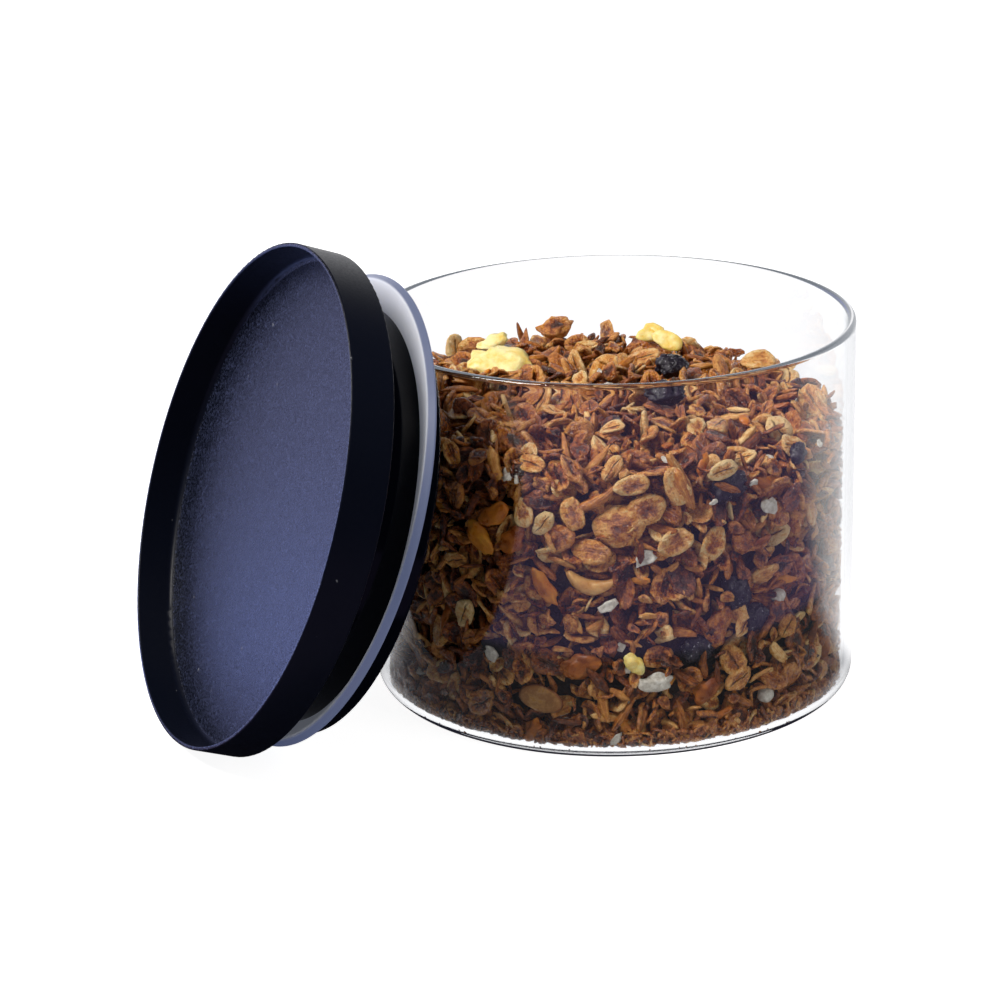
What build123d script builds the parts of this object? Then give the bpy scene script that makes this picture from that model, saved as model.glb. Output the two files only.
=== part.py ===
from build123d import *
from math import cos, radians, sin
import os

# A low, wide glass storage jar that holds granola. Its stackable lid stands on the table
# beside it and leans back against the rim.
#
# Frame: the origin is the centre of the jar's base, where it stands on the table. +Z is up
# along the jar's axis. The lid leans on the -X side, so X-Z is the assembly's mirror plane.
# All lengths are in millimetres and all angles in degrees.

# ---- Jar ----
jar_radius = 72.5
jar_height = 112.5
glass_thickness = 2.6
base_thickness = 2.4
base_outer_corner = 5.0
base_inner_corner = 2.4
rim_rounding = 1.28

# ---- Contents ----
fill_clearance = 0.4
fill_edge_height = 86.0
fill_crown = 4.5

# ---- Lid: radii are from the lid's axis, depths are below its raised rim ----
stacking_clearance = 0.3
rim_wall = 1.2
recess_depth = 11.2
recess_floor_fillet = 1.8
recess_floor_thickness = 1.8
edge_rounding = 0.45
neck_radius = 61.5
groove_radius = 59.5
groove_top_depth = 27.0
groove_height = 1.3
plug_base_radius = 64.4
plug_base_thickness = 1.2
plug_wall = 2.0
plug_foot_height = 3.0
plug_foot_wall = 2.6
plug_rounding = 0.9
register_height = 1.5
register_width = 1.2
register_clearance = 0.1

# ---- Gasket: a lip that flares out and up from the plug's groove ----
lip_radius = 70.3
lip_depth = 26.1
crest_radius = 68.9
crest_depth = 24.0
crest_width = 0.9
lip_rounding = 0.4
lip_lift = 1.0  # the soft lip isn't quite true to the plug: it sits this far up the lid's slope
lip_tilt = 1.8  # and it is turned by this angle, deeper at the top of the slope

# ---- How the lid leans ----
lean_angle = 19.8
lean_gap = 0.3

# ---- Sizes that follow ----
jar_inner_radius = jar_radius - glass_thickness
recess_radius = jar_radius + stacking_clearance
cover_radius = recess_radius + rim_wall
seat_depth = recess_depth + recess_floor_thickness
groove_bottom_depth = groove_top_depth + groove_height
underside_depth = groove_bottom_depth + plug_base_thickness
foot_depth = underside_depth + plug_foot_height
plug_inner_radius = groove_radius - plug_wall
plug_foot_radius = plug_base_radius - plug_foot_wall

# The lid stands on its skirt's rounded lower edge, the lowest of its edges when it leans.
# The flat underside of its plug, inside the foot ring, rests against the jar's rim.
lean = radians(lean_angle)
edge_centre = (cover_radius - edge_rounding) * cos(lean) + (seat_depth - edge_rounding) * sin(lean)
lid_centre_height = edge_centre + edge_rounding
underside_to_rim = underside_depth + lean_gap + sin(lean) * (jar_height - lid_centre_height)
lid_centre_distance = jar_radius + underside_to_rim / cos(lean)

lid_centre = Vector(-lid_centre_distance, 0, lid_centre_height)
lid_normal = Vector(-cos(lean), 0, sin(lean))
lid_slope = Vector(sin(lean), 0, cos(lean))
lid_axis = Axis(lid_centre, lid_normal)
# In the lid's section, local X is the radius and local Y is minus the depth.
lid_section = Plane(origin=lid_centre, x_dir=lid_slope, z_dir=(0, -1, 0))
lid_face = Plane(origin=lid_centre, x_dir=lid_slope, z_dir=lid_normal)
lip_face = lid_face.offset(-lip_depth).rotated((0, lip_tilt, 0))
crest_face = lid_face.offset(-crest_depth).rotated((0, lip_tilt, 0))


def corner(profile, radius, height):
    """The profile's vertex at this radius and height."""
    return profile.vertices().sort_by_distance((radius, height))[0]


# ---- Glass jar: one blown and pressed piece with a flat base and a fire-polished rim ----
with BuildPart() as glass_jar:
    with BuildSketch(Plane.XZ) as jar_profile:
        with BuildLine():
            Polyline(
                (0, 0),
                (jar_radius, 0),
                (jar_radius, jar_height),
                (jar_inner_radius, jar_height),
                (jar_inner_radius, base_thickness),
                (0, base_thickness),
                close=True,
            )
        make_face()
        fillet(corner(jar_profile, jar_radius, 0), radius=base_outer_corner)
        fillet(corner(jar_profile, jar_inner_radius, base_thickness), radius=base_inner_corner)
        fillet(corner(jar_profile, jar_radius, jar_height), radius=rim_rounding)
        fillet(corner(jar_profile, jar_inner_radius, jar_height), radius=rim_rounding)
    revolve(axis=Axis.Z)

# ---- Granola: the whole loose fill as one closed body, lying on the jar's floor ----
with BuildPart() as granola_bed:
    bed_radius = jar_inner_radius - fill_clearance
    crown_height = fill_edge_height + fill_crown
    with BuildSketch(Plane.XZ) as bed_profile:
        with BuildLine():
            Polyline(
                (0, crown_height),
                (0, base_thickness),
                (bed_radius, base_thickness),
                (bed_radius, fill_edge_height),
            )
            TangentArc((0, crown_height), (bed_radius, fill_edge_height), tangent=(1, 0))
        make_face()
        fillet(corner(bed_profile, bed_radius, base_thickness), radius=base_inner_corner)
    revolve(axis=Axis.Z)

# ---- Lid cover: a shallow tray that takes the base of a second jar, with a short skirt ----
with BuildPart() as lid_cover:
    with BuildSketch(lid_section) as cover_profile:
        register_outer = plug_inner_radius - register_clearance
        register_inner = register_outer - register_width
        with BuildLine():
            Polyline(
                (0, -recess_depth),
                (recess_radius, -recess_depth),
                (recess_radius, 0),
                (cover_radius, 0),
                (cover_radius, -seat_depth),
                (register_outer, -seat_depth),
                (register_outer, -seat_depth - register_height),
                (register_inner, -seat_depth - register_height),
                (register_inner, -seat_depth),
                (0, -seat_depth),
                close=True,
            )
        make_face()
        fillet(corner(cover_profile, recess_radius, -recess_depth), radius=recess_floor_fillet)
        for rounded in [(recess_radius, 0), (cover_radius, 0), (cover_radius, -seat_depth)]:
            fillet(corner(cover_profile, *rounded), radius=edge_rounding)
    revolve(axis=lid_axis)

# ---- Lid plug: a hollow cup under the cover, with the gasket's groove above its base and a foot ring ----
with BuildPart() as lid_plug:
    with BuildSketch(lid_section) as plug_profile:
        with BuildLine():
            Polyline(
                (0, -underside_depth),
                (plug_foot_radius, -underside_depth),
                (plug_foot_radius, -foot_depth),
                (plug_base_radius, -foot_depth),
                (plug_base_radius, -groove_bottom_depth),
                (groove_radius, -groove_bottom_depth),
                (groove_radius, -groove_top_depth),
                (neck_radius, -groove_top_depth),
                (neck_radius, -seat_depth),
                (plug_inner_radius, -seat_depth),
                (plug_inner_radius, -underside_depth + plug_wall),
                (0, -underside_depth + plug_wall),
                close=True,
            )
        make_face()
        fillet(corner(plug_profile, plug_base_radius, -foot_depth), radius=plug_rounding)
        fillet(corner(plug_profile, plug_foot_radius, -foot_depth), radius=plug_rounding)
        fillet(corner(plug_profile, plug_inner_radius, -underside_depth + plug_wall), radius=plug_rounding)
    revolve(axis=lid_axis)

# ---- Silicone gasket: a dished lip seal in the plug's groove, wider than the jar's mouth ----
with BuildPart() as silicone_gasket:
    with BuildSketch(lid_face.offset(-groove_bottom_depth)):
        Circle(plug_base_radius)
    with BuildSketch(lip_face):
        with Locations((lip_lift, 0)):
            Circle(lip_radius)
    with BuildSketch(crest_face):
        with Locations((lip_lift, 0)):
            Circle(crest_radius)
    loft(ruled=True)
    lip_edge = silicone_gasket.edges().filter_by(GeomType.CIRCLE).sort_by(SortBy.RADIUS)[-1]
    fillet(lip_edge, radius=lip_rounding)
    with BuildSketch(lid_face.offset(-groove_top_depth)):
        Circle(neck_radius)
    with BuildSketch(crest_face):
        with Locations((lip_lift, 0)):
            Circle(crest_radius - crest_width)
    loft(ruled=True, mode=Mode.SUBTRACT)
    with BuildSketch(lid_face.offset(-groove_bottom_depth)):
        Circle(groove_radius)
    extrude(amount=groove_height, mode=Mode.SUBTRACT)

# ---- Export: one STEP file for each piece ----
pieces = {
    "glass_jar": glass_jar,
    "granola_bed": granola_bed,
    "lid_cover": lid_cover,
    "lid_plug": lid_plug,
    "silicone_gasket": silicone_gasket,
}
os.makedirs("parts", exist_ok=True)
for label, piece in pieces.items():
    piece.part.label = label
    export_step(piece.part, f"parts/{label}.step")

# Where the stacking recess ends up when the lid leans, and how low the cover comes.
recess_wall_depth = (edge_rounding + recess_depth - recess_floor_fillet) / 2
recess_wall_length = recess_depth - recess_floor_fillet - edge_rounding
print("lid centre", lid_centre, "normal", lid_normal)
print("recess bore at", lid_centre - lid_normal * recess_wall_depth, "length", recess_wall_length)
for label, piece in pieces.items():
    box = piece.part.bounding_box()
    print(label, "from", box.min, "to", box.max)
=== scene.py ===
import math

import bpy
import numpy as np
from mathutils import Matrix, Vector, noise


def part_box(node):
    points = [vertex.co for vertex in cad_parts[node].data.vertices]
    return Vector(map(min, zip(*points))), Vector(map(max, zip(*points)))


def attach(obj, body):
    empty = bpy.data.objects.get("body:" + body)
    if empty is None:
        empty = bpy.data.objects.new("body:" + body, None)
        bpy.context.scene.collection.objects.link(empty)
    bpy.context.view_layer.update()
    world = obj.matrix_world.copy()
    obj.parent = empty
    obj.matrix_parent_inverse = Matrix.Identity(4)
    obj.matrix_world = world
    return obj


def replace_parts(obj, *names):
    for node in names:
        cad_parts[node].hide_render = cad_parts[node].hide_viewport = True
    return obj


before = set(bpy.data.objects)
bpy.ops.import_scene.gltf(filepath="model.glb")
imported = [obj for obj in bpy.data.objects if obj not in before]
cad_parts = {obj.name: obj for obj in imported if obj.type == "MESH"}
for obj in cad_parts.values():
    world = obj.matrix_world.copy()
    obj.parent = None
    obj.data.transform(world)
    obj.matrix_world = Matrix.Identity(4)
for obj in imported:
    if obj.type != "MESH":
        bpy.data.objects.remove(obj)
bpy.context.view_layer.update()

random = np.random.default_rng(7)

MM = 0.001  # lengths are in metres; a number times MM is written in millimetres

# The viewer's place in metres, the line of sight in degrees and the lens in millimetres on its sensor.
CAMERA_PLACE = (-0.3640, -0.8031, 0.3569)
CAMERA_HEADING = 67.83  # of the line of sight, from +X towards +Y
CAMERA_TILT = -18.90
CAMERA_ROLL = -1.31
CAMERA_LENS = 110.85
CAMERA_SENSOR = 36

# Directions across the studio: away to the white backdrop, and to the right along it.
AWAY = Vector((math.cos(math.radians(CAMERA_HEADING)), math.sin(math.radians(CAMERA_HEADING)), 0))
RIGHT = Vector((AWAY.y, -AWAY.x, 0))
FRONT = math.radians(CAMERA_HEADING + 180)  # angle about the jar's axis of its side towards the viewer

LID_LEAN = math.radians(19.8)  # the slope of the lid's face in its leaning place
LID_AXIS = (-math.cos(LID_LEAN), 0, math.sin(LID_LEAN))
LIP_CENTRE = (-117.7 * MM, 0, 74.8 * MM)  # a point on the axis of the gasket's lip

# The jar's inside, from the CAD bed that the loose granola takes the place of.
BED_LOW, BED_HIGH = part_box("granola_bed")
WALL = BED_HIGH.x - 0.3 * MM
BED_BOTTOM = BED_LOW.z + 0.3 * MM


# ---------------------------------------------------------------- node helpers

class Shader:
    """A node tree, with a short way to add nodes and join them."""

    def __init__(self, owner, output="ShaderNodeOutputMaterial"):
        self.owner = owner
        owner.use_nodes = True
        self.tree = owner.node_tree
        self.tree.nodes.clear()
        self.output = self.tree.nodes.new(output)

    def set(self, socket, value):
        if isinstance(value, bpy.types.NodeSocket):
            self.tree.links.new(value, socket)
        elif hasattr(value, "__len__") and len(value) == 3 and socket.type == "RGBA":
            socket.default_value = (*value, 1)
        else:
            socket.default_value = value

    def node(self, kind, settings=None, **inputs):
        made = self.tree.nodes.new("ShaderNode" + kind)
        for name, value in (settings or {}).items():
            setattr(made, name, value)
        for name, value in inputs.items():
            self.set(made.inputs[name.replace("_", " ")], value)
        return made

    def math(self, operation, *values, clamp=False):
        made = self.node("Math", {"operation": operation, "use_clamp": clamp})
        for socket, value in zip(made.inputs, values):
            self.set(socket, value)
        return made.outputs[0]

    def vector(self, operation, *values, what=0):
        made = self.node("VectorMath", {"operation": operation})
        for socket, value in zip(made.inputs, values):
            self.set(socket, value)
        return made.outputs[what]

    def along(self, vector, direction):
        """How far vector reaches along a fixed direction."""
        return self.vector("DOT_PRODUCT", vector, tuple(direction), what="Value")

    def ramp(self, factor, *stops):
        """A colour ramp through (position, colour) stops."""
        made = self.node("ValToRGB", Fac=factor)
        ramp = made.color_ramp
        while len(ramp.elements) < len(stops):
            ramp.elements.new(0.5)
        for element, (position, colour) in zip(ramp.elements, stops):
            element.position = position
            element.color = (*colour, 1)
        return made.outputs["Color"]

    def fade(self, value, low, high, to_low=0.0, to_high=1.0):
        """As value goes from low to high, a smooth step from to_low to to_high."""
        made = self.node("MapRange", {"interpolation_type": "SMOOTHSTEP"}, Value=value)
        ends = {"From Min": low, "From Max": high, "To Min": to_low, "To Max": to_high}
        for name, number in ends.items():
            made.inputs[name].default_value = number
        return made.outputs["Result"]

    def blend(self, factor, a, b, how="MIX"):
        made = self.node("Mix", {"data_type": "RGBA", "blend_type": how})
        self.set(made.inputs["Factor"], factor)
        self.set(made.inputs[6], a)
        self.set(made.inputs[7], b)
        return made.outputs[2]

    def where(self):
        return self.node("TexCoord").outputs["Object"]

    def noise(self, scale, detail=3.0, roughness=0.55, place=None):
        made = self.node("TexNoise", Vector=place or self.where())
        made.inputs["Scale"].default_value = scale
        made.inputs["Detail"].default_value = detail
        made.inputs["Roughness"].default_value = roughness
        return made.outputs["Fac"]

    def bump(self, height, distance, strength=1.0):
        made = self.node("Bump", Height=height)
        made.inputs["Distance"].default_value = distance
        made.inputs["Strength"].default_value = strength
        return made.outputs["Normal"]

    def principled(self, base, roughness, normal, specular=0.5, **settings):
        made = self.node("BsdfPrincipled", Base_Color=base, Roughness=roughness, Normal=normal)
        made.inputs["Specular IOR Level"].default_value = specular
        for name, value in settings.items():
            made.inputs[name.replace("_", " ")].default_value = value
        return made.outputs[0]

    def mix(self, factor, a, b):
        made = self.node("MixShader", Fac=factor)
        self.set(made.inputs[1], a)
        self.set(made.inputs[2], b)
        return made.outputs[0]

    def finish(self, surface):
        self.set(self.output.inputs["Surface"], surface)
        return self.owner


def new_material(name):
    return Shader(bpy.data.materials.new(name))


# ---------------------------------------------------------------- materials of the jar and the lid

def glass_material():
    """Clear borosilicate: very faint waves from forming, a faint haze of handling."""
    s = new_material("clear_glass")
    waves = s.bump(s.noise(22, 1.0), 0.6 * MM, 0.10)
    haze = s.fade(s.noise(35, 4.0), 0.45, 0.8, 0.0, 0.010)
    glass = s.principled((0.985, 0.992, 0.994), haze, waves, IOR=1.474, Transmission_Weight=1.0)
    # soft light passes straight in, so that the granola is lit directly
    path = s.node("LightPath").outputs
    open_to = s.math("MAXIMUM", path["Is Shadow Ray"], path["Is Diffuse Ray"])
    clear = s.node("BsdfTransparent", Color=(0.96, 0.97, 0.97)).outputs[0]
    # a painted glow stands in for the light that has turned many times inside the wall: bright at the
    # base, grey above
    turned = s.math("GREATER_THAN", path["Glossy Depth"], 2.5)
    many_turns = s.math("MAXIMUM", turned, s.math("GREATER_THAN", path["Ray Depth"], 6.5))
    height = s.node("SeparateXYZ", Vector=s.where()).outputs["Z"]
    painted_wall_glow = s.blend(s.fade(height, 10 * MM, 60 * MM), (0.80, 0.80, 0.82), (0.20, 0.22, 0.25))
    painted_wall_glow = s.node("Emission", Color=painted_wall_glow).outputs[0]
    return s.finish(s.mix(open_to, s.mix(many_turns, glass, painted_wall_glow), clear))


def cover_material():
    """Matte black moulding: satin sides, a fine grain, pale blue flecks in the recess painted as the
    grain's glints, specks of dust.
    """
    s = new_material("cover_matte_black")
    grain = s.noise(1350, 3.0, 0.75)
    cloud = s.noise(40, 3.0)
    recess = s.fade(s.along(s.node("NewGeometry").outputs["Normal"], LID_AXIS), 0.80, 0.95)
    # painted glints: pale blue flecks, only in the recess, stand in for the grain's sparkle
    painted_glints = s.math("MULTIPLY", s.fade(grain, 0.52, 0.66), recess)
    dust = s.fade(s.noise(300, 2.0, 0.5), 0.755, 0.79, 0.0, 0.5)
    base = s.blend(cloud, (0.0018, 0.0028, 0.0075), (0.0030, 0.0042, 0.0105))
    base = s.blend(dust, base, (0.30, 0.31, 0.34))
    side = s.principled(base, s.fade(grain, 0.3, 0.7, 0.32, 0.44), s.bump(grain, 0.04 * MM, 0.5), 0.12)
    # the painted glints go into the recess's base colour
    base = s.blend(painted_glints, base, (0.052, 0.064, 0.130))
    tray = s.principled(base, s.fade(grain, 0.3, 0.7, 0.22, 0.38), s.bump(grain, 0.30 * MM, 0.8))
    return s.finish(s.mix(recess, side, tray))


def plug_material():
    """Gloss black moulding: smooth, with faint flow marks."""
    s = new_material("plug_gloss_black")
    flow = s.noise(60, 3.0)
    base = s.blend(flow, (0.0008, 0.0011, 0.0030), (0.0016, 0.0021, 0.0048))
    rough = s.fade(flow, 0.35, 0.7, 0.07, 0.12)
    return s.finish(s.principled(base, rough, s.bump(s.noise(160, 2.0), 0.2 * MM, 0.05), 0.10))


def gasket_material():
    """Soft translucent silicone, grey-white, satin. The lip's outer face is painted darker, as painted
    shade, and the gasket has a faint painted glow.
    """
    s = new_material("silicone_grey")
    cloud = s.noise(70, 3.0)
    from_lip = s.vector("SUBTRACT", s.where(), LIP_CENTRE)
    across = s.vector("LENGTH", s.vector("CROSS_PRODUCT", from_lip, LID_AXIS), what="Value")
    # painted shade: past this radius the lip's outer face is painted darker
    lip_painted_shade = s.fade(across, 68.3 * MM, 69.1 * MM)
    base = s.blend(cloud, (0.62, 0.64, 0.71), (0.70, 0.72, 0.79))
    base = s.blend(lip_painted_shade, base, (0.09, 0.10, 0.14))
    # the painted glow's colour, bluer on the lip's outer face
    through = s.blend(lip_painted_shade, (0.07, 0.075, 0.09), (0.05, 0.065, 0.13))
    rough = s.fade(cloud, 0.3, 0.7, 0.30, 0.40)
    soft = s.principled(base, rough, s.bump(s.noise(900, 2.0), 0.06 * MM, 0.3), Subsurface_Weight=0.3,
                        Subsurface_Radius=(0.9, 1.0, 1.15), Subsurface_Scale=1.2 * MM)
    # a painted glow, bluer on the lip's outer face, stands in for the light that comes through it from
    # behind
    glow = s.node("AddShader")
    s.set(glow.inputs[0], soft)
    s.set(glow.inputs[1], s.node("Emission", Color=through).outputs[0])
    return s.finish(glow.outputs[0])


def repaint(node, material):
    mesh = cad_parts[node].data
    mesh.materials.clear()
    mesh.materials.append(material)


repaint("lid_cover", cover_material())
repaint("lid_plug", plug_material())
repaint("silicone_gasket", gasket_material())


# ---------------------------------------------------------------- the jar's glass, turned finely

GLASS_WALL, GLASS_BASE = 2.6 * MM, 2.4 * MM
GLASS_CORNER, GLASS_INNER_CORNER, GLASS_RIM = 5.0 * MM, 2.4 * MM, 1.28 * MM
GLASS_SIDES = 320


def arc(centre, radius, start, end, steps):
    """Points along an arc in the jar's section, angles in degrees."""
    return [(centre[0] + radius * math.cos(math.radians(start + (end - start) * i / steps)),
             centre[1] + radius * math.sin(math.radians(start + (end - start) * i / steps)))
            for i in range(steps + 1)]


def glass_section():
    """The jar's half section, from the middle of its underside round the rim to the middle inside."""
    low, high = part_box("glass_jar")
    outer, top = high.x, high.z
    inner = outer - GLASS_WALL
    turn, bend = GLASS_CORNER, GLASS_INNER_CORNER
    section = [(outer - turn - 1 * MM, low.z)]
    section += arc((outer - turn, low.z + turn), turn, -90, 0, 14)
    section += [(outer, low.z + turn + 1 * MM), (outer, top - GLASS_RIM - 1 * MM)]
    section += arc((outer - GLASS_RIM, top - GLASS_RIM), GLASS_RIM, 0, 90, 10)
    section += arc((inner + GLASS_RIM, top - GLASS_RIM), GLASS_RIM, 90, 180, 10)
    section += [(inner, top - GLASS_RIM - 1 * MM), (inner, low.z + GLASS_BASE + bend + 1 * MM)]
    section += arc((inner - bend, low.z + GLASS_BASE + bend), bend, 0, -90, 10)
    section += [(inner - bend - 1 * MM, low.z + GLASS_BASE)]
    return section, low.z


def turned_glass():
    section, bottom = glass_section()
    points, faces = [(0, 0, bottom)], []
    for i in range(GLASS_SIDES):
        angle = 2 * math.pi * i / GLASS_SIDES
        points += [(r * math.cos(angle), r * math.sin(angle), z) for r, z in section]
    points.append((0, 0, bottom + GLASS_BASE))
    row, last = len(section), len(points) - 1
    for i in range(GLASS_SIDES):
        a, b = 1 + i * row, 1 + (i + 1) % GLASS_SIDES * row
        faces.append((0, b, a))
        faces += [(a + j, b + j, b + j + 1, a + j + 1) for j in range(row - 1)]
        faces.append((a + row - 1, b + row - 1, last))
    mesh = bpy.data.meshes.new("jar_glass")
    mesh.from_pydata(points, [], faces)
    mesh.polygons.foreach_set("use_smooth", np.ones(len(mesh.polygons), bool))
    mesh.materials.append(glass_material())
    mesh.update()
    made = bpy.data.objects.new("jar_glass", mesh)
    bpy.context.scene.collection.objects.link(made)
    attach(made, "jar")
    return made


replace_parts(turned_glass(), "glass_jar")


# ---------------------------------------------------------------- materials of the granola

def bit_coordinates(s):
    """A bit's own coordinates u and v, from -1 to 1 across it, and its tone, from 0 dark to 1 pale."""
    local = s.node("Attribute", {"attribute_name": "local"}).outputs["Vector"]
    parts = s.node("SeparateXYZ", Vector=local)
    return parts.outputs["X"], parts.outputs["Y"], parts.outputs["Z"]


def from_middle(s, u, v):
    return s.math("SQRT", s.math("ADD", s.math("MULTIPLY", u, u), s.math("MULTIPLY", v, v)))


def fibres(s, u, v, tone, detail=3.0):
    """Fine streaks that run along the bit, different on every bit."""
    stretched = s.node("CombineXYZ", X=s.math("MULTIPLY", u, 0.9), Y=s.math("MULTIPLY", v, 4.6),
                       Z=s.math("MULTIPLY", tone, 61.0))
    return s.noise(1.0, detail, 0.65, stretched.outputs[0])


def oat_material(name, crease_depth):
    """Toasted oat: golden at the rim, redder and darker inside, bran streaks, patches of honey glaze."""
    s = new_material(name)
    u, v, tone = bit_coordinates(s)
    mottle = s.noise(560, 4.0, 0.66)
    fine = s.noise(1900, 3.0, 0.7)
    streak = fibres(s, u, v, tone)
    radius = s.math("ADD", from_middle(s, u, v), s.math("MULTIPLY", s.math("SUBTRACT", mottle, 0.5), 1.1))
    shade = s.math("MULTIPLY", s.math("SUBTRACT", mottle, 0.5), 0.95)
    shade = s.math("ADD", shade, s.math("MULTIPLY", s.math("SUBTRACT", streak, 0.5), 0.75))
    shade = s.math("ADD", shade, s.math("MULTIPLY", s.math("SUBTRACT", fine, 0.5), 0.55))
    # most flakes have a golden rim, and some of them a red-brown middle
    toasted = s.math("FRACT", s.math("MULTIPLY", tone, 91.3))
    rim = s.fade(radius, 0.15, 0.90, -1.0, 0.45)
    rimmed = s.math("MULTIPLY", rim, s.fade(toasted, 0.2, 0.9, 0.08, 0.34))
    shade = s.math("ADD", shade, rimmed)
    colour = s.ramp(
        s.math("ADD", tone, shade),
        (0.00, (0.030, 0.004, 0.0010)),
        (0.18, (0.125, 0.020, 0.0025)),
        (0.38, (0.330, 0.076, 0.0090)),
        (0.58, (0.590, 0.200, 0.0300)),
        (0.78, (0.820, 0.390, 0.0900)),
        (1.00, (0.960, 0.660, 0.3000)),
    )
    wander = s.math("MULTIPLY", s.math("SUBTRACT", s.noise(300, 2.0), 0.5), 0.5)
    # about a third of the flakes show the grain's crease
    creased = s.fade(s.math("FRACT", s.math("MULTIPLY", tone, 37.7)), 0.62, 0.66, 0.0, crease_depth)
    crease = s.fade(s.math("ABSOLUTE", s.math("ADD", v, wander)), 0.02, 0.11, 1.0, 0.0)
    crease = s.math("MULTIPLY", crease, creased)
    crease = s.math("MULTIPLY", crease, s.fade(s.math("ABSOLUTE", u), 0.45, 0.85, 1.0, 0.0))
    colour = s.blend(crease, colour, (0.075, 0.020, 0.005))
    colour = s.blend(s.fade(fine, 0.60, 0.74, 0.0, 0.50), colour, (0.90, 0.64, 0.34))
    colour = s.blend(s.fade(fine, 0.28, 0.41, 0.60, 0.0), colour, (0.050, 0.010, 0.003))
    height = s.math("ADD", s.math("MULTIPLY", mottle, 1.3), s.math("MULTIPLY", fine, 0.7))
    height = s.math("ADD", height, s.math("MULTIPLY", streak, 0.7))
    height = s.math("SUBTRACT", height, s.math("MULTIPLY", crease, 1.2))
    rough = s.fade(s.noise(230, 2.0), 0.42, 0.60, 0.14, 0.50)
    out = s.principled(colour, rough, s.bump(height, 1.0 * MM, 1.0), 1.0, Subsurface_Weight=0.06,
                       Subsurface_Radius=(1.0, 0.5, 0.25), Subsurface_Scale=0.8 * MM)
    return s.finish(out)


def nut_material():
    """Sliced almond: cream flesh with a thin brown skin round its edge."""
    s = new_material("almond_slice")
    u, v, tone = bit_coordinates(s)
    grain = s.noise(500, 3.0)
    flesh = s.ramp(tone, (0.0, (0.50, 0.25, 0.07)), (0.5, (0.70, 0.43, 0.16)), (1.0, (0.84, 0.64, 0.36)))
    flesh = s.blend(s.fade(grain, 0.35, 0.60, 0.0, 0.8), flesh, (0.30, 0.11, 0.022))
    colour = s.blend(s.fade(from_middle(s, u, v), 0.84, 0.97), flesh, (0.20, 0.060, 0.014))
    out = s.principled(colour, s.fade(grain, 0.3, 0.7, 0.26, 0.5), s.bump(grain, 0.5 * MM, 0.6),
                       Subsurface_Weight=0.15, Subsurface_Radius=(1.0, 0.7, 0.4),
                       Subsurface_Scale=1.2 * MM)
    return s.finish(out)


def kernel_material():
    """Kernel, seed or splinter: toasted, glossy in places, streaked along its length."""
    s = new_material("toasted_kernel")
    u, v, tone = bit_coordinates(s)
    mottle = s.noise(700, 4.0, 0.65)
    streak = fibres(s, u, v, tone)
    shade = s.math("MULTIPLY", s.math("SUBTRACT", s.math("ADD", mottle, streak), 1.0), 0.85)
    colour = s.ramp(
        s.math("ADD", tone, shade),
        (0.00, (0.035, 0.006, 0.001)),
        (0.30, (0.175, 0.040, 0.006)),
        (0.60, (0.460, 0.155, 0.025)),
        (0.85, (0.700, 0.350, 0.090)),
        (1.00, (0.880, 0.600, 0.270)),
    )
    rough = s.fade(s.noise(260, 2.0), 0.42, 0.60, 0.18, 0.55)
    return s.finish(s.principled(colour, rough, s.bump(s.math("ADD", mottle, streak), 0.5 * MM, 0.8)))


def raisin_material():
    """Raisin or dried berry: blue-black, wrinkled, with sugar crystals that catch the light."""
    s = new_material("raisin")
    wrinkle = s.noise(330, 5.0, 0.6)
    crystal = s.fade(s.noise(1500, 2.0, 0.6), 0.66, 0.70, 0.0, 0.8)
    colour = s.ramp(
        wrinkle,
        (0.30, (0.003, 0.002, 0.005)),
        (0.55, (0.010, 0.006, 0.014)),
        (0.75, (0.034, 0.020, 0.040)),
    )
    colour = s.blend(crystal, colour, (0.50, 0.47, 0.55))
    rough = s.fade(wrinkle, 0.35, 0.65, 0.22, 0.5)
    return s.finish(s.principled(colour, rough, s.bump(wrinkle, 1.1 * MM, 1.0)))


def fruit_material(name, dark, middle, pale):
    """Dried fruit: fibrous, translucent, sugary."""
    s = new_material(name)
    tone = bit_coordinates(s)[2]
    fibre = s.noise(380, 4.0, 0.6)
    blotch = s.math("ADD", fibre, s.noise(130, 2.0))
    shifted = s.math("ADD", tone, s.math("MULTIPLY", s.math("SUBTRACT", blotch, 1.0), 1.0))
    colour = s.ramp(shifted, (0.05, dark), (0.5, middle), (0.95, pale))
    out = s.principled(colour, s.fade(fibre, 0.3, 0.7, 0.24, 0.5), s.bump(fibre, 0.8 * MM, 0.7),
                       Subsurface_Weight=0.35, Subsurface_Radius=(1.0, 0.6, 0.2),
                       Subsurface_Scale=1.8 * MM)
    return s.finish(out)


def coconut_material():
    """Coconut and puffed grain: off-white, chalky, finely pitted."""
    s = new_material("coconut_white")
    pits = s.noise(900, 4.0, 0.6)
    colour = s.ramp(pits, (0.3, (0.40, 0.35, 0.28)), (0.6, (0.70, 0.66, 0.60)), (0.9, (0.86, 0.84, 0.80)))
    return s.finish(s.principled(colour, s.fade(pits, 0.3, 0.7, 0.5, 0.8), s.bump(pits, 0.5 * MM, 0.8)))


def core_shade_material():
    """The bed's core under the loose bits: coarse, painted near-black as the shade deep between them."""
    s = new_material("painted_shade_core")
    lumps = s.noise(300, 5.0, 0.65)
    # painted shade: the core is coloured near-black, as the shade deep in the bed
    colour = s.ramp(
        lumps,
        (0.30, (0.006, 0.002, 0.001)),
        (0.55, (0.022, 0.007, 0.002)),
        (0.80, (0.080, 0.025, 0.007)),
    )
    return s.finish(s.principled(colour, s.fade(lumps, 0.3, 0.7, 0.6, 0.9), s.bump(lumps, 2 * MM, 1.0)))


# ---------------------------------------------------------------- shapes of the granola's bits
# Each shape is (points, faces, local): local gives u, v for every point. They are about 1 long in x.

def smooth_noise(x, y, seed):
    return noise.noise(Vector((x, y, seed * 7.3)))


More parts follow.
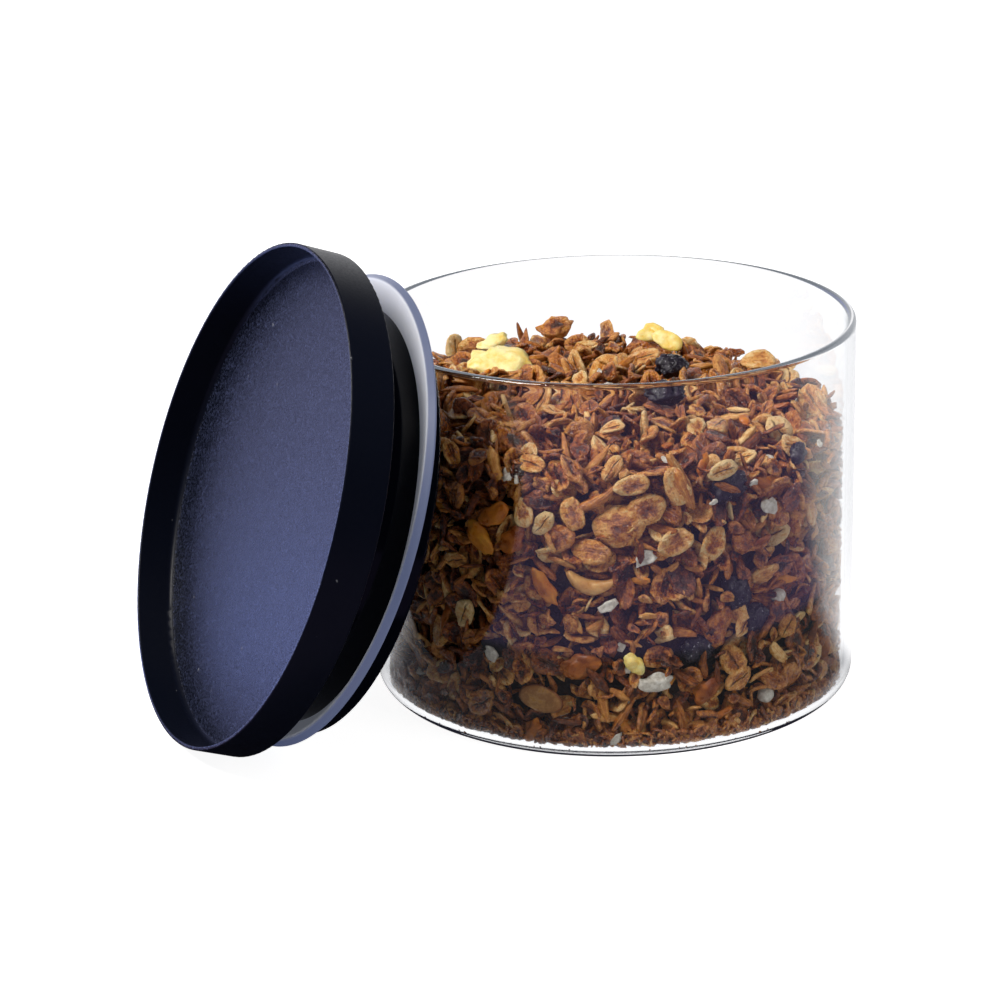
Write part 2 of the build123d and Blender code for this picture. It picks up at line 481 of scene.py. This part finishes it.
def flake_shape(seed, width, thickness, ragged, bend, fold, sides=16):
    """A thin flake: an oval with an uneven edge, bent, folded along its length and rippled."""
    draw = np.random.default_rng(seed)
    angle = np.linspace(0, 2 * math.pi, sides, endpoint=False)
    reach = np.ones(sides)
    for order, share in ((2, 1.0), (3, 1.0), (4, 0.7), (6, 0.6), (8, 0.5)):
        much = ragged * share * draw.uniform(0.3, 1)
        reach += much * np.cos(order * angle + draw.uniform(0, 2 * math.pi))
    points, local = [], []

    def height(x, y):
        crumple = 0.12 * smooth_noise(1.3 * x, 1.5 * y, seed)
        crumple += 0.045 * smooth_noise(3.6 * x, 4.4 * y, seed + 50)
        bow = bend[0] * x * x + bend[1] * y * y + bend[2] * x * y
        return bow + fold * math.sqrt(y * y + 0.02) + crumple

    def ring(share, lift):
        start = len(points)
        for a, r in zip(angle, reach):
            u, v = share * math.cos(a), share * math.sin(a)
            points.append((0.5 * r * u, 0.5 * r * v * width, 0.5 * height(r * u, r * v * width) + lift))
            local.append((u, v))
        return start

    def middle(lift):
        points.append((0, 0, 0.5 * height(0, 0) + lift))
        local.append((0, 0))
        return len(points) - 1

    half = thickness / 2
    top = middle(half * 0.8)
    rings = [ring(0.36, half), ring(0.70, half * 1.1), ring(0.93, half * 0.8), ring(1.0, 0.0)]
    rings += [ring(0.92, -half * 0.8), ring(0.55, -half)]
    bottom = middle(-half)
    faces = [(top, rings[0] + i, rings[0] + (i + 1) % sides) for i in range(sides)]
    for a, b in zip(rings, rings[1:]):
        faces += [(a + i, b + i, b + (i + 1) % sides, a + (i + 1) % sides) for i in range(sides)]
    last = rings[-1]
    faces += [(last + (i + 1) % sides, last + i, bottom) for i in range(sides)]
    return np.array(points), faces, np.array(local)


def pebble_shape(seed, width, depth, rough, wrinkle=0.0, bend=0.0, taper=0.0, sides=12, rows=8):
    """A lump, seed or berry: an egg with an uneven skin, bent along its length."""
    points, local = [], []
    shift = Vector((seed * 3.1, seed * 1.7, seed * 0.9))
    for row in range(rows + 1):
        polar = math.pi * row / rows
        for side in range(sides if 0 < row < rows else 1):
            turn = 2 * math.pi * side / sides
            out = math.sin(polar)
            d = Vector((math.cos(polar), out * math.cos(turn), out * math.sin(turn)))
            r = 1 + rough * noise.noise(d * 1.6 + shift)
            r -= wrinkle * abs(noise.noise(d * 3.4 + shift * 2))
            narrow = 1 - taper * d.x
            x, y, z = 0.5 * d.x * r, 0.5 * d.y * r * width * narrow, 0.5 * d.z * r * depth * narrow
            points.append((x, y + bend * (4 * x * x - 0.5), z))
            local.append((d.x, d.y))
    faces = []

    def at(row, side):
        if row == 0:
            return 0
        if row == rows:
            return 1 + (rows - 1) * sides
        return 1 + (row - 1) * sides + side % sides

    for row in range(rows):
        for side in range(sides):
            corners = [at(row, side), at(row + 1, side), at(row + 1, side + 1), at(row, side + 1)]
            faces.append(tuple(dict.fromkeys(corners)))
    return np.array(points), faces, np.array(local)


def facing(normal, spin):
    """A rotation that lays a bit's flat side square to normal, its length turned by spin from level."""
    normal = normal / np.linalg.norm(normal)
    level = np.array(RIGHT) - (np.array(RIGHT) @ normal) * normal
    level /= np.linalg.norm(level)
    up = np.cross(normal, level)
    return np.column_stack((math.cos(spin) * level + math.sin(spin) * up,
                            math.cos(spin) * up - math.sin(spin) * level, normal))


class Pile:
    """Collects many bits of one material into one mesh."""

    def __init__(self):
        self.points, self.local, self.faces, self.count = [], [], [], 0

    def add(self, shape, turn, size, place, tone):
        points, faces, local = shape
        self.points.append(points @ (turn * size).T + place)
        self.local.append(np.column_stack((local, np.full(len(local), tone))))
        self.faces += [tuple(i + self.count for i in f) for f in faces]
        self.count += len(points)

    def build(self, name, material):
        mesh = bpy.data.meshes.new(name)
        mesh.from_pydata(np.concatenate(self.points).tolist(), [], self.faces)
        mesh.polygons.foreach_set("use_smooth", np.ones(len(mesh.polygons), bool))
        local = mesh.attributes.new("local", "FLOAT_VECTOR", "POINT")
        local.data.foreach_set("vector", np.concatenate(self.local).astype(np.float32).ravel())
        mesh.materials.append(material)
        mesh.update()
        made = bpy.data.objects.new(name, mesh)
        bpy.context.scene.collection.objects.link(made)
        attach(made, "jar")
        return made


# ---------------------------------------------------------------- the granola bed

SURFACE_EDGE = 86 * MM    # height of the heap where it meets the glass
SURFACE_CROWN = 4.5 * MM  # how much the middle of the heap stands above that
SURFACE_TILT = 3.5 * MM   # how much higher it is at the left than in the middle
SHELL = 14 * MM           # depth of loose bits between the glass and the core
SPACING_FLAT, SPACING_THROUGH = 5.0 * MM, 1.45 * MM
WEDGES = 8                # the bits of one kind are kept in this many wedges round the axis
FLAT_LENGTH = 9.5 * MM    # a bit of this length takes the room that the two spacings give
CRUMB_ROOM = 0.22         # the share of that room that a crumb at the foot of the wall takes
BED_TRIES, CRUMB_TRIES = 60000, 9000


def surface_height(x, y):
    """The heap's uneven top: a low crown that rises to the left."""
    far = math.hypot(x, y) / WALL
    across = (x * RIGHT.x + y * RIGHT.y) / WALL
    lumps = noise.noise(Vector((x * 42, y * 42, 3.0))) * 3.0 * MM
    return SURFACE_EDGE + SURFACE_CROWN * (1 - far * far) - SURFACE_TILT * across + lumps


def push_inside(points):
    """The shift that brings a bit's points off the glass wall and the base."""
    shift = np.zeros(3)
    radius = np.hypot(points[:, 0], points[:, 1])
    worst = int(radius.argmax())
    if radius[worst] > WALL:
        shift[:2] = -points[worst, :2] * (1 - WALL / radius[worst])
    low = points[:, 2].min()
    if low < BED_BOTTOM:
        shift[2] = BED_BOTTOM - low
    return shift


def draw_flakes(count, first, width, thickness, ragged, bend, fold, sides):
    made = []
    for i in range(count):
        bends = random.uniform(-bend, bend, 3)
        made.append(flake_shape(first + i, random.uniform(*width), random.uniform(*thickness), ragged,
                                bends, random.uniform(-fold, fold), sides))
    return made


OATS = draw_flakes(36, 0, (0.54, 0.82), (0.070, 0.130), 0.050, 0.20, 0.16, 16)
BROKEN = draw_flakes(24, 100, (0.40, 0.80), (0.120, 0.240), 0.140, 0.35, 0.30, 12)
ALMONDS = draw_flakes(6, 200, (0.52, 0.66), (0.070, 0.090), 0.018, 0.06, 0.0, 20)
KERNELS = [pebble_shape(i, random.uniform(0.20, 0.36), random.uniform(0.14, 0.24), 0.30, 0.16,
                        random.uniform(-0.10, 0.10), random.uniform(0.1, 0.4), 8, 8) for i in range(16)]
RAISINS = [pebble_shape(40 + i, random.uniform(0.66, 0.86), random.uniform(0.50, 0.62), 0.25, 0.42,
                        0, 0, 30, 20) for i in range(6)]
CHUNKS = [pebble_shape(60 + i, random.uniform(0.55, 0.80), random.uniform(0.30, 0.42), 0.42, 0.16,
                       random.uniform(-0.1, 0.1), 0.1, 22, 16) for i in range(8)]
BALLS = [pebble_shape(80 + i, 0.95, 0.92, 0.12, 0.08, 0, 0, 16, 12) for i in range(4)]
SLICES = [pebble_shape(110 + i, random.uniform(0.40, 0.58), random.uniform(0.20, 0.28), 0.30, 0.12,
                       random.uniform(-0.05, 0.05), 0.12, 18, 16) for i in range(6)]
DISCS = [pebble_shape(97, 0.94, 0.42, 0.14, 0.16, 0, 0, 26, 18)]
CASHEWS = [pebble_shape(95, 0.30, 0.30, 0.12, 0.06, 0.26, 0.15, 16, 18)]

# Each kind's share of the loose bits, its shapes, lengths in millimetres, and mean tone and its spread.
KINDS = [
    ("oat", 0.43, OATS, (7.5, 12.0), (0.50, 0.20)),
    ("crumb", 0.27, BROKEN, (3.5, 7.5), (0.42, 0.20)),
    ("kernel", 0.27, KERNELS, (6.0, 12.0), (0.52, 0.20)),
    ("amber", 0.014, SLICES, (5.0, 9.0), (0.4, 0.2)),
    ("coconut", 0.008, BROKEN, (2.5, 5.0), (0.5, 0.2)),
]
KIND_SHARE = np.cumsum([k[1] for k in KINDS]) / sum(k[1] for k in KINDS)

piles = {}


def add_bit(kind, shape, turn, length, place, tone):
    around = int((math.atan2(place[1], place[0]) / (2 * math.pi) + 0.5) * WEDGES) % WEDGES
    part = around if kind in ("oat", "crumb", "kernel") else 0
    piles.setdefault((kind, part), Pile()).add(shape, turn, length, place, tone)


class Spacing:
    """Remembers where bits are, and says whether a new flat one would sit in another."""

    def __init__(self, cell=8 * MM):
        self.cell, self.cells = cell, {}

    def near(self, place):
        i, j, k = (int(math.floor(c / self.cell)) for c in place)
        for a in (-1, 0, 1):
            for b in (-1, 0, 1):
                for c in (-1, 0, 1):
                    yield from self.cells.get((i + a, j + b, k + c), ())

    def free(self, place, normal, scale):
        for other, other_normal, other_scale in self.near(place):
            gap = place - other
            size = (scale + other_scale) / 2
            for n in (normal, other_normal):
                through = abs(gap @ n)
                flat2 = gap @ gap - through * through
                if flat2 / (SPACING_FLAT * size) ** 2 + (through / (SPACING_THROUGH * size)) ** 2 < 1:
                    return False
        return True

    def add(self, place, normal, scale):
        key = tuple(int(math.floor(c / self.cell)) for c in place)
        self.cells.setdefault(key, []).append((place, normal, scale))


spacing = Spacing()


def set_bit(kind, shape, angle, reach, height, length, tone, spin, normal=None):
    """Puts one chosen bit at an angle from the front and a reach from the axis, flat to the glass."""
    turn = FRONT + math.radians(angle)
    outward = np.array((math.cos(turn), math.sin(turn), 0.0))
    # its flat side faces outwards unless a normal is given
    flat = outward if normal is None else np.array(normal)
    rotation = facing(flat, math.radians(spin))
    length = length * MM
    place = outward * reach * MM + np.array((0, 0, height * MM))
    place = place + push_inside(shape[0] @ (rotation * length).T + place)
    add_bit(kind, shape, rotation, length, place, tone)
    # the flat bits keep clear of it: a thick bit takes the room of several
    for step in (-0.25, 0.0, 0.25):
        spacing.add(place + rotation[:, 0] * step * length, flat, length / (7.5 * MM))


# Bits against the glass: kind, shape, angle from the front, height, length, tone, spin.
for kind, shape, angle, height, length, tone, spin in (
    ("raisin", RAISINS[0], 27.8, 78.0, 12.5, 0.5, 20),
    ("raisin", RAISINS[1], 29.3, 45.5, 13.0, 0.5, -65),
    ("raisin", RAISINS[2], 34.5, 37.0, 10.0, 0.5, 40),
    ("raisin", RAISINS[3], 18.6, 31.0, 11.0, 0.5, 10),
    ("raisin", RAISINS[4], 48.8, 82.8, 7.0, 0.5, 60),
    ("ball", BALLS[0], 41.8, 41.6, 4.6, 0.5, 0),
    ("ball", BALLS[1], 38.0, 12.1, 5.0, 0.5, 30),
    ("amber", SLICES[0], -35.4, 63.1, 11.5, 0.70, -50),
    ("amber", SLICES[1], -18.5, 50.9, 12.0, 0.65, -60),
    ("amber", SLICES[2], -31.5, 71.0, 11.0, 0.45, 35),
    ("amber", CHUNKS[6], -27.0, 64.0, 10.0, 0.30, 50),
    ("amber", CHUNKS[2], -10.3, 27.3, 11.0, 0.30, 20),
    ("amber", CHUNKS[3], -22.5, 6.5, 8.0, 0.35, 60),
    ("amber", CHUNKS[4], 20.5, 18.0, 9.0, 0.20, 35),
    ("cashew", CASHEWS[0], -7.5, 53.5, 15.0, 0.55, -8),
    ("cluster", DISCS[0], -0.5, 69.7, 14.5, 0.62, 15),
    ("cluster", CHUNKS[6], 31.0, 61.0, 10.0, 0.42, -30),
    ("cluster", CHUNKS[7], 24.0, 37.0, 11.0, 0.45, 70),
    ("coconut", BROKEN[2], 5.3, 60.5, 6.5, 0.5, 25),
    ("coconut", CHUNKS[3], 7.4, 22.4, 9.5, 0.5, 5),
    ("coconut", BROKEN[5], -3.5, 46.4, 6.0, 0.5, 30),
    ("coconut", BROKEN[7], -33.0, 28.5, 5.5, 0.5, -60),
    ("coconut", BROKEN[9], 37.5, 70.5, 6.5, 0.5, -35),
    ("coconut", BROKEN[11], -2.0, 5.5, 5.0, 0.5, 50),
    ("oat", OATS[3], 2.3, 82.3, 10.5, 0.70, 15),
    ("oat", OATS[8], -11.5, 73.8, 10.0, 0.62, -75),
    ("oat", OATS[5], 24.5, 84.0, 9.5, 0.95, 8),
    ("oat", OATS[12], 12.5, 64.5, 10.5, 0.72, 20),
    ("nut", ALMONDS[4], -20.0, 17.0, 13.5, 0.00, -12),
    ("oat", OATS[20], 5.5, 74.5, 13.0, 0.60, 22),
    ("oat", OATS[15], 22.0, 62.5, 11.0, 0.72, 60),
    ("oat", OATS[17], 13.0, 81.0, 12.0, 0.80, -65),
    ("oat", OATS[22], 29.0, 20.0, 9.5, 0.66, 30),
    ("kernel", KERNELS[4], 15.0, 79.5, 13.0, 0.62, -70),
    ("kernel", KERNELS[9], -6.0, 78.0, 12.0, 0.55, 30),
    ("yellow", CHUNKS[2], 2.5, 28.5, 7.0, 0.60, -50),
):
    depth = np.ptp(shape[0][:, 2]) * length / 2
    set_bit(kind, shape, angle, WALL / MM - depth, height, length, tone, spin)

# Bits on the heap: kind, shape, angle from the front, distance from the axis, height, length, tone, spin,
# lean towards the viewer.
for kind, shape, angle, reach, height, length, tone, spin, lean in (
    ("yellow", CHUNKS[0], -126.9, 41, 90.5, 19.0, 0.70, -8, 0.6),
    ("yellow", CHUNKS[3], -141.8, 57, 92.0, 10.0, 0.85, 30, 0.6),
    ("yellow", OATS[6], 158.9, 55, 89.5, 11.0, 0.50, -30, 0.9),
    ("yellow", BROKEN[9], 165.8, 60, 90.0, 9.0, 0.60, 20, 0.9),
    ("raisin", RAISINS[2], 124.9, 23, 92.5, 11.0, 0.5, 10, 0.5),
    ("raisin", RAISINS[5], 46.6, 21, 92.5, 12.0, 0.5, -5, 0.5),
    ("cluster", CHUNKS[5], -165.8, 62, 92.0, 11.0, 0.50, 20, 0.8),
    ("oat", OATS[25], 122.0, 55, 88.5, 11.0, 0.80, 0, 0.6),
):
    set_bit(kind, shape, angle, reach, height, length, tone, spin, (-lean * AWAY.x, -lean * AWAY.y, 1.0))


def in_shell(place):
    """True where loose bits are seen: near the glass, near the heap's top or near the base."""
    x, y, z = place
    top = surface_height(x, y)
    return z < top and (math.hypot(x, y) > WALL - SHELL or z > top - SHELL or z < BED_BOTTOM + 5 * MM)


def fill_bed(tries):
    """Drops bits at random into the shell, flat sides mostly along the wall or the top."""
    highest = SURFACE_EDGE + 12 * MM
    for _ in range(tries):
        radius = WALL * math.sqrt(random.uniform(0, 1))
        turn = random.uniform(0, 2 * math.pi)
        height = random.uniform(BED_BOTTOM, highest)
        place = np.array((radius * math.cos(turn), radius * math.sin(turn), height))
        kind, _, shapes, lengths, tones = KINDS[int(np.searchsorted(KIND_SHARE, random.uniform()))]
        length = random.uniform(*lengths) * MM
        outward = np.array((math.cos(turn), math.sin(turn), 0.0))
        if place[2] > surface_height(place[0], place[1]) - 4 * MM:
            outward = outward * 0.2 + np.array((0, 0, 0.8))
        normal = outward + random.normal(0, 0.75, 3)
        normal /= np.linalg.norm(normal)
        scale = length / FLAT_LENGTH
        shape = shapes[random.integers(len(shapes))]
        spin, tone = random.uniform(0, 2 * math.pi), random.normal(*tones)
        side = 1 if random.uniform() < 0.5 else -1
        if not in_shell(place) or not spacing.free(place, normal, scale):
            continue
        rotation = facing(normal * side, spin)
        place = place + push_inside(shape[0] @ (rotation * length).T + place)
        spacing.add(place, normal, scale)
        add_bit(kind, shape, rotation, length, place, float(np.clip(tone, 0.02, 0.98)))


def settle_crumbs(tries):
    """Fills the corner between the wall and the base with the small crumbs that sift down to it."""
    for _ in range(tries):
        turn = random.uniform(0, 2 * math.pi)
        radius = WALL - random.uniform(0.5, 6) * MM
        height = BED_BOTTOM + random.uniform(0.3, 4) * MM
        place = np.array((radius * math.cos(turn), radius * math.sin(turn), height))
        length = random.uniform(2.5, 6.0) * MM
        normal = np.array((math.cos(turn), math.sin(turn), -0.3)) + random.normal(0, 0.6, 3)
        normal /= np.linalg.norm(normal)
        shape = BROKEN[random.integers(len(BROKEN))]
        spin, tone = random.uniform(0, 2 * math.pi), random.normal(0.38, 0.16)
        if not spacing.free(place, normal, CRUMB_ROOM):
            continue
        rotation = facing(normal, spin)
        place = place + push_inside(shape[0] @ (rotation * length).T + place)
        spacing.add(place, normal, CRUMB_ROOM)
        add_bit("crumb", shape, rotation, length, place, float(np.clip(tone, 0.02, 0.98)))


fill_bed(BED_TRIES)
settle_crumbs(CRUMB_TRIES)

LOOKS = {
    "oat": oat_material("toasted_oat", 0.8),
    "crumb": oat_material("toasted_crumb", 0.0),
    "cluster": oat_material("glazed_cluster", 0.0),
    "kernel": kernel_material(),
    "nut": nut_material(),
    "cashew": fruit_material("cashew", (0.30, 0.11, 0.025), (0.52, 0.25, 0.07), (0.74, 0.46, 0.17)),
    "amber": fruit_material("amber_fruit", (0.20, 0.04, 0.004), (0.50, 0.15, 0.010), (0.72, 0.30, 0.025)),
    "yellow": fruit_material("yellow_fruit", (0.46, 0.20, 0.02), (0.84, 0.58, 0.12), (0.96, 0.86, 0.44)),
    "raisin": raisin_material(),
    "coconut": coconut_material(),
    "ball": coconut_material(),
}
for (kind, part), pile in sorted(piles.items()):
    pile.build(f"granola_{kind}_{part}", LOOKS[kind])


def core():
    """The bed's heart, painted dark as shade: one lumpy closed form under the loose bits, broad at its
    foot.
    """
    points, faces, local = pebble_shape(7, 1.0, 1.0, 0.0, 0.0, 0, 0, 64, 40)
    low, high = BED_BOTTOM + 0.6 * MM, SURFACE_EDGE - 6 * MM
    out = []
    for q in points:
        # the egg's long axis is turned upright and its sides are squared off
        d = Vector((q[1], q[2], q[0])).normalized()
        flat = math.hypot(d.x, d.y)
        up = 1 if d.z > 0 else -1
        x, y = (d.x / flat, d.y / flat) if flat > 1e-6 else (0.0, 0.0)
        spread, rise = flat ** (0.35 if up > 0 else 0.12), abs(d.z) ** 0.5 * up
        radius = WALL - (7 + 3 * min(rise, 0)) * MM
        lump = 1 + (0.05 if up > 0 else 0.015) * noise.noise(d * 7)
        out.append((x * spread * radius * lump, y * spread * radius * lump,
                    (low + high) / 2 + rise * (high - low) / 2))
    pile = Pile()
    pile.add((np.array(out), faces, local), np.eye(3), 1.0, np.zeros(3), 0.5)
    return pile.build("granola_core", core_shade_material())


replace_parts(core(), "granola_bed")


# ---------------------------------------------------------------- studio

FLOOR_SIDE = 14.0
# Radii about the jar on the floor, for what its glass mirrors: dark, then lit, then dark again.
LIT_FROM, LIT_FULL, LIT_FADES, LIT_TO = 0.146, 0.156, 0.36, 0.60
LAVENDER = (0.25, 0.20, 0.40)  # the lit floor in front, as mirrored
BLUE = (0.64, 0.68, 1.25)      # the backdrop's left part, as mirrored
NEAR_BLUE = (1.15, 1.50, 3.60)  # the floor before it
WHITE = (1.12, 1.12, 1.14)
DARK = (0.012, 0.012, 0.020)   # the room in front, as mirrored
GREY = (0.17, 0.18, 0.20)      # the same, as the glass's edges gather it
FILL = 0.17                    # the soft light from all round


def dark_room(s, through):
    return s.blend(through, DARK, GREY)


def backdrop(s, across, away, mirrored, blue, front):
    """The white backdrop, blue at its left where it is mirrored, and what lies in front."""
    left = s.math("MULTIPLY", mirrored, s.fade(across, -0.42, -0.10, 1.0, 0.0))
    back = s.blend(left, WHITE, blue)
    return s.blend(s.fade(away, -0.12, 0.16), front, back)


def paths(s):
    """Whether a ray comes from the camera, through glass, by a mirror, or by glass or mirror."""
    path = s.node("LightPath").outputs
    through = path["Is Transmission Ray"]
    mirrored = s.math("MULTIPLY", path["Is Glossy Ray"], s.math("SUBTRACT", 1.0, through))
    sharp = s.math("MAXIMUM", through, mirrored)
    return path["Is Camera Ray"], through, mirrored, sharp


def floor_material():
    """Pale sweep: evenly bright to the eye, with faint shadows; mirrored, only part of it is lit."""
    s = new_material("pale_floor")
    camera_ray, through, mirrored, sharp = paths(s)
    place = s.vector("MULTIPLY", s.node("NewGeometry").outputs["Position"], (1.0, 1.0, 0.0))
    far = s.vector("LENGTH", place, what="Value")
    heading = s.vector("NORMALIZE", place)
    beyond = s.fade(far, LIT_FROM, LIT_FULL)
    lit = s.math("MULTIPLY", beyond, s.fade(far, LIT_FADES, LIT_TO, 1.0, 0.0))
    front = s.blend(lit, dark_room(s, through), LAVENDER)
    blue = s.blend(beyond, DARK, s.blend(s.fade(far, 0.22, 0.60), NEAR_BLUE, BLUE))
    seen = backdrop(s, s.along(heading, RIGHT), s.along(heading, AWAY), mirrored, blue, front)
    under = s.math("MULTIPLY", through, s.fade(far, 0.076, 0.084, 1.0, 0.0))
    seen = s.blend(under, seen, WHITE)
    glow = s.node("Emission", Color=seen)
    soft = s.noise(3, 2.0)
    pale = s.blend(soft, (0.56, 0.57, 0.58), (0.60, 0.61, 0.62))
    plain = s.principled(pale, 0.8, s.bump(soft, 1 * MM, 0.05))
    lift = s.node("Emission", Color=(1, 1, 1), Strength=s.math("MULTIPLY", camera_ray, 0.92))
    table = s.node("AddShader")
    s.set(table.inputs[0], plain)
    s.set(table.inputs[1], lift.outputs[0])
    return s.finish(s.mix(sharp, table.outputs[0], glow.outputs[0]))


def plane(name, size, place, material):
    mesh = bpy.data.meshes.new(name)
    h = size / 2
    mesh.from_pydata([(-h, -h, 0), (h, -h, 0), (h, h, 0), (-h, h, 0)], [], [(0, 1, 2, 3)])
    mesh.materials.append(material)
    made = bpy.data.objects.new(name, mesh)
    made.location = place
    bpy.context.scene.collection.objects.link(made)


plane("floor", FLOOR_SIDE, (0, 0, 0), floor_material())


def studio_world():
    """A white backdrop behind, a dark room in front and above, and a faint even fill."""
    world = bpy.data.worlds.new("studio")
    bpy.context.scene.world = world
    s = Shader(world, "ShaderNodeOutputWorld")
    camera_ray, through, mirrored, sharp = paths(s)
    direction = s.node("TexCoord").outputs["Generated"]
    dark = dark_room(s, through)
    seen = backdrop(s, s.along(direction, RIGHT), s.along(direction, AWAY), mirrored, BLUE, dark)
    up = s.node("SeparateXYZ", Vector=direction).outputs["Z"]
    seen = s.blend(s.fade(up, 0.30, 0.62), seen, dark)
    seen = s.blend(sharp, (FILL, FILL * 1.02, FILL * 1.06), seen)
    seen = s.blend(camera_ray, seen, WHITE)
    s.finish(s.node("Background", Color=seen).outputs[0])
    world.cycles.sampling_method = "NONE"


studio_world()


def soft_box(name, place, size, power, colour=(1, 1, 1)):
    """A lamp aimed at the middle of the jar."""
    light = bpy.data.lights.new(name, "AREA")
    light.shape = "RECTANGLE"
    light.size, light.size_y = size
    light.energy = power
    light.color = colour
    made = bpy.data.objects.new(name, light)
    made.location = place
    made.rotation_euler = (Vector((0, 0, 0.06)) - Vector(place)).to_track_quat("-Z", "Y").to_euler()
    made.visible_camera = False
    bpy.context.scene.collection.objects.link(made)
    return made


soft_box("key_light", (-0.75, -0.06, 1.02), (0.50, 0.50), 18, (1.0, 0.97, 0.93))
soft_box("right_fill", (0.60, -0.95, 0.70), (0.5, 0.6), 3, (1.0, 0.96, 0.92)).visible_glossy = False

view = bpy.data.cameras.new("camera")
view.lens = CAMERA_LENS
view.sensor_width = CAMERA_SENSOR
view.clip_start, view.clip_end = 0.01, 50
camera = bpy.data.objects.new("camera", view)
bpy.context.scene.collection.objects.link(camera)
camera.matrix_world = (
    Matrix.Translation(CAMERA_PLACE)
    @ Matrix.Rotation(math.radians(CAMERA_HEADING - 90), 4, "Z")
    @ Matrix.Rotation(math.radians(90 + CAMERA_TILT), 4, "X")
    @ Matrix.Rotation(math.radians(CAMERA_ROLL), 4, "Z")
)
bpy.context.scene.camera = camera
bpy.context.scene.view_settings.view_transform = "Standard"
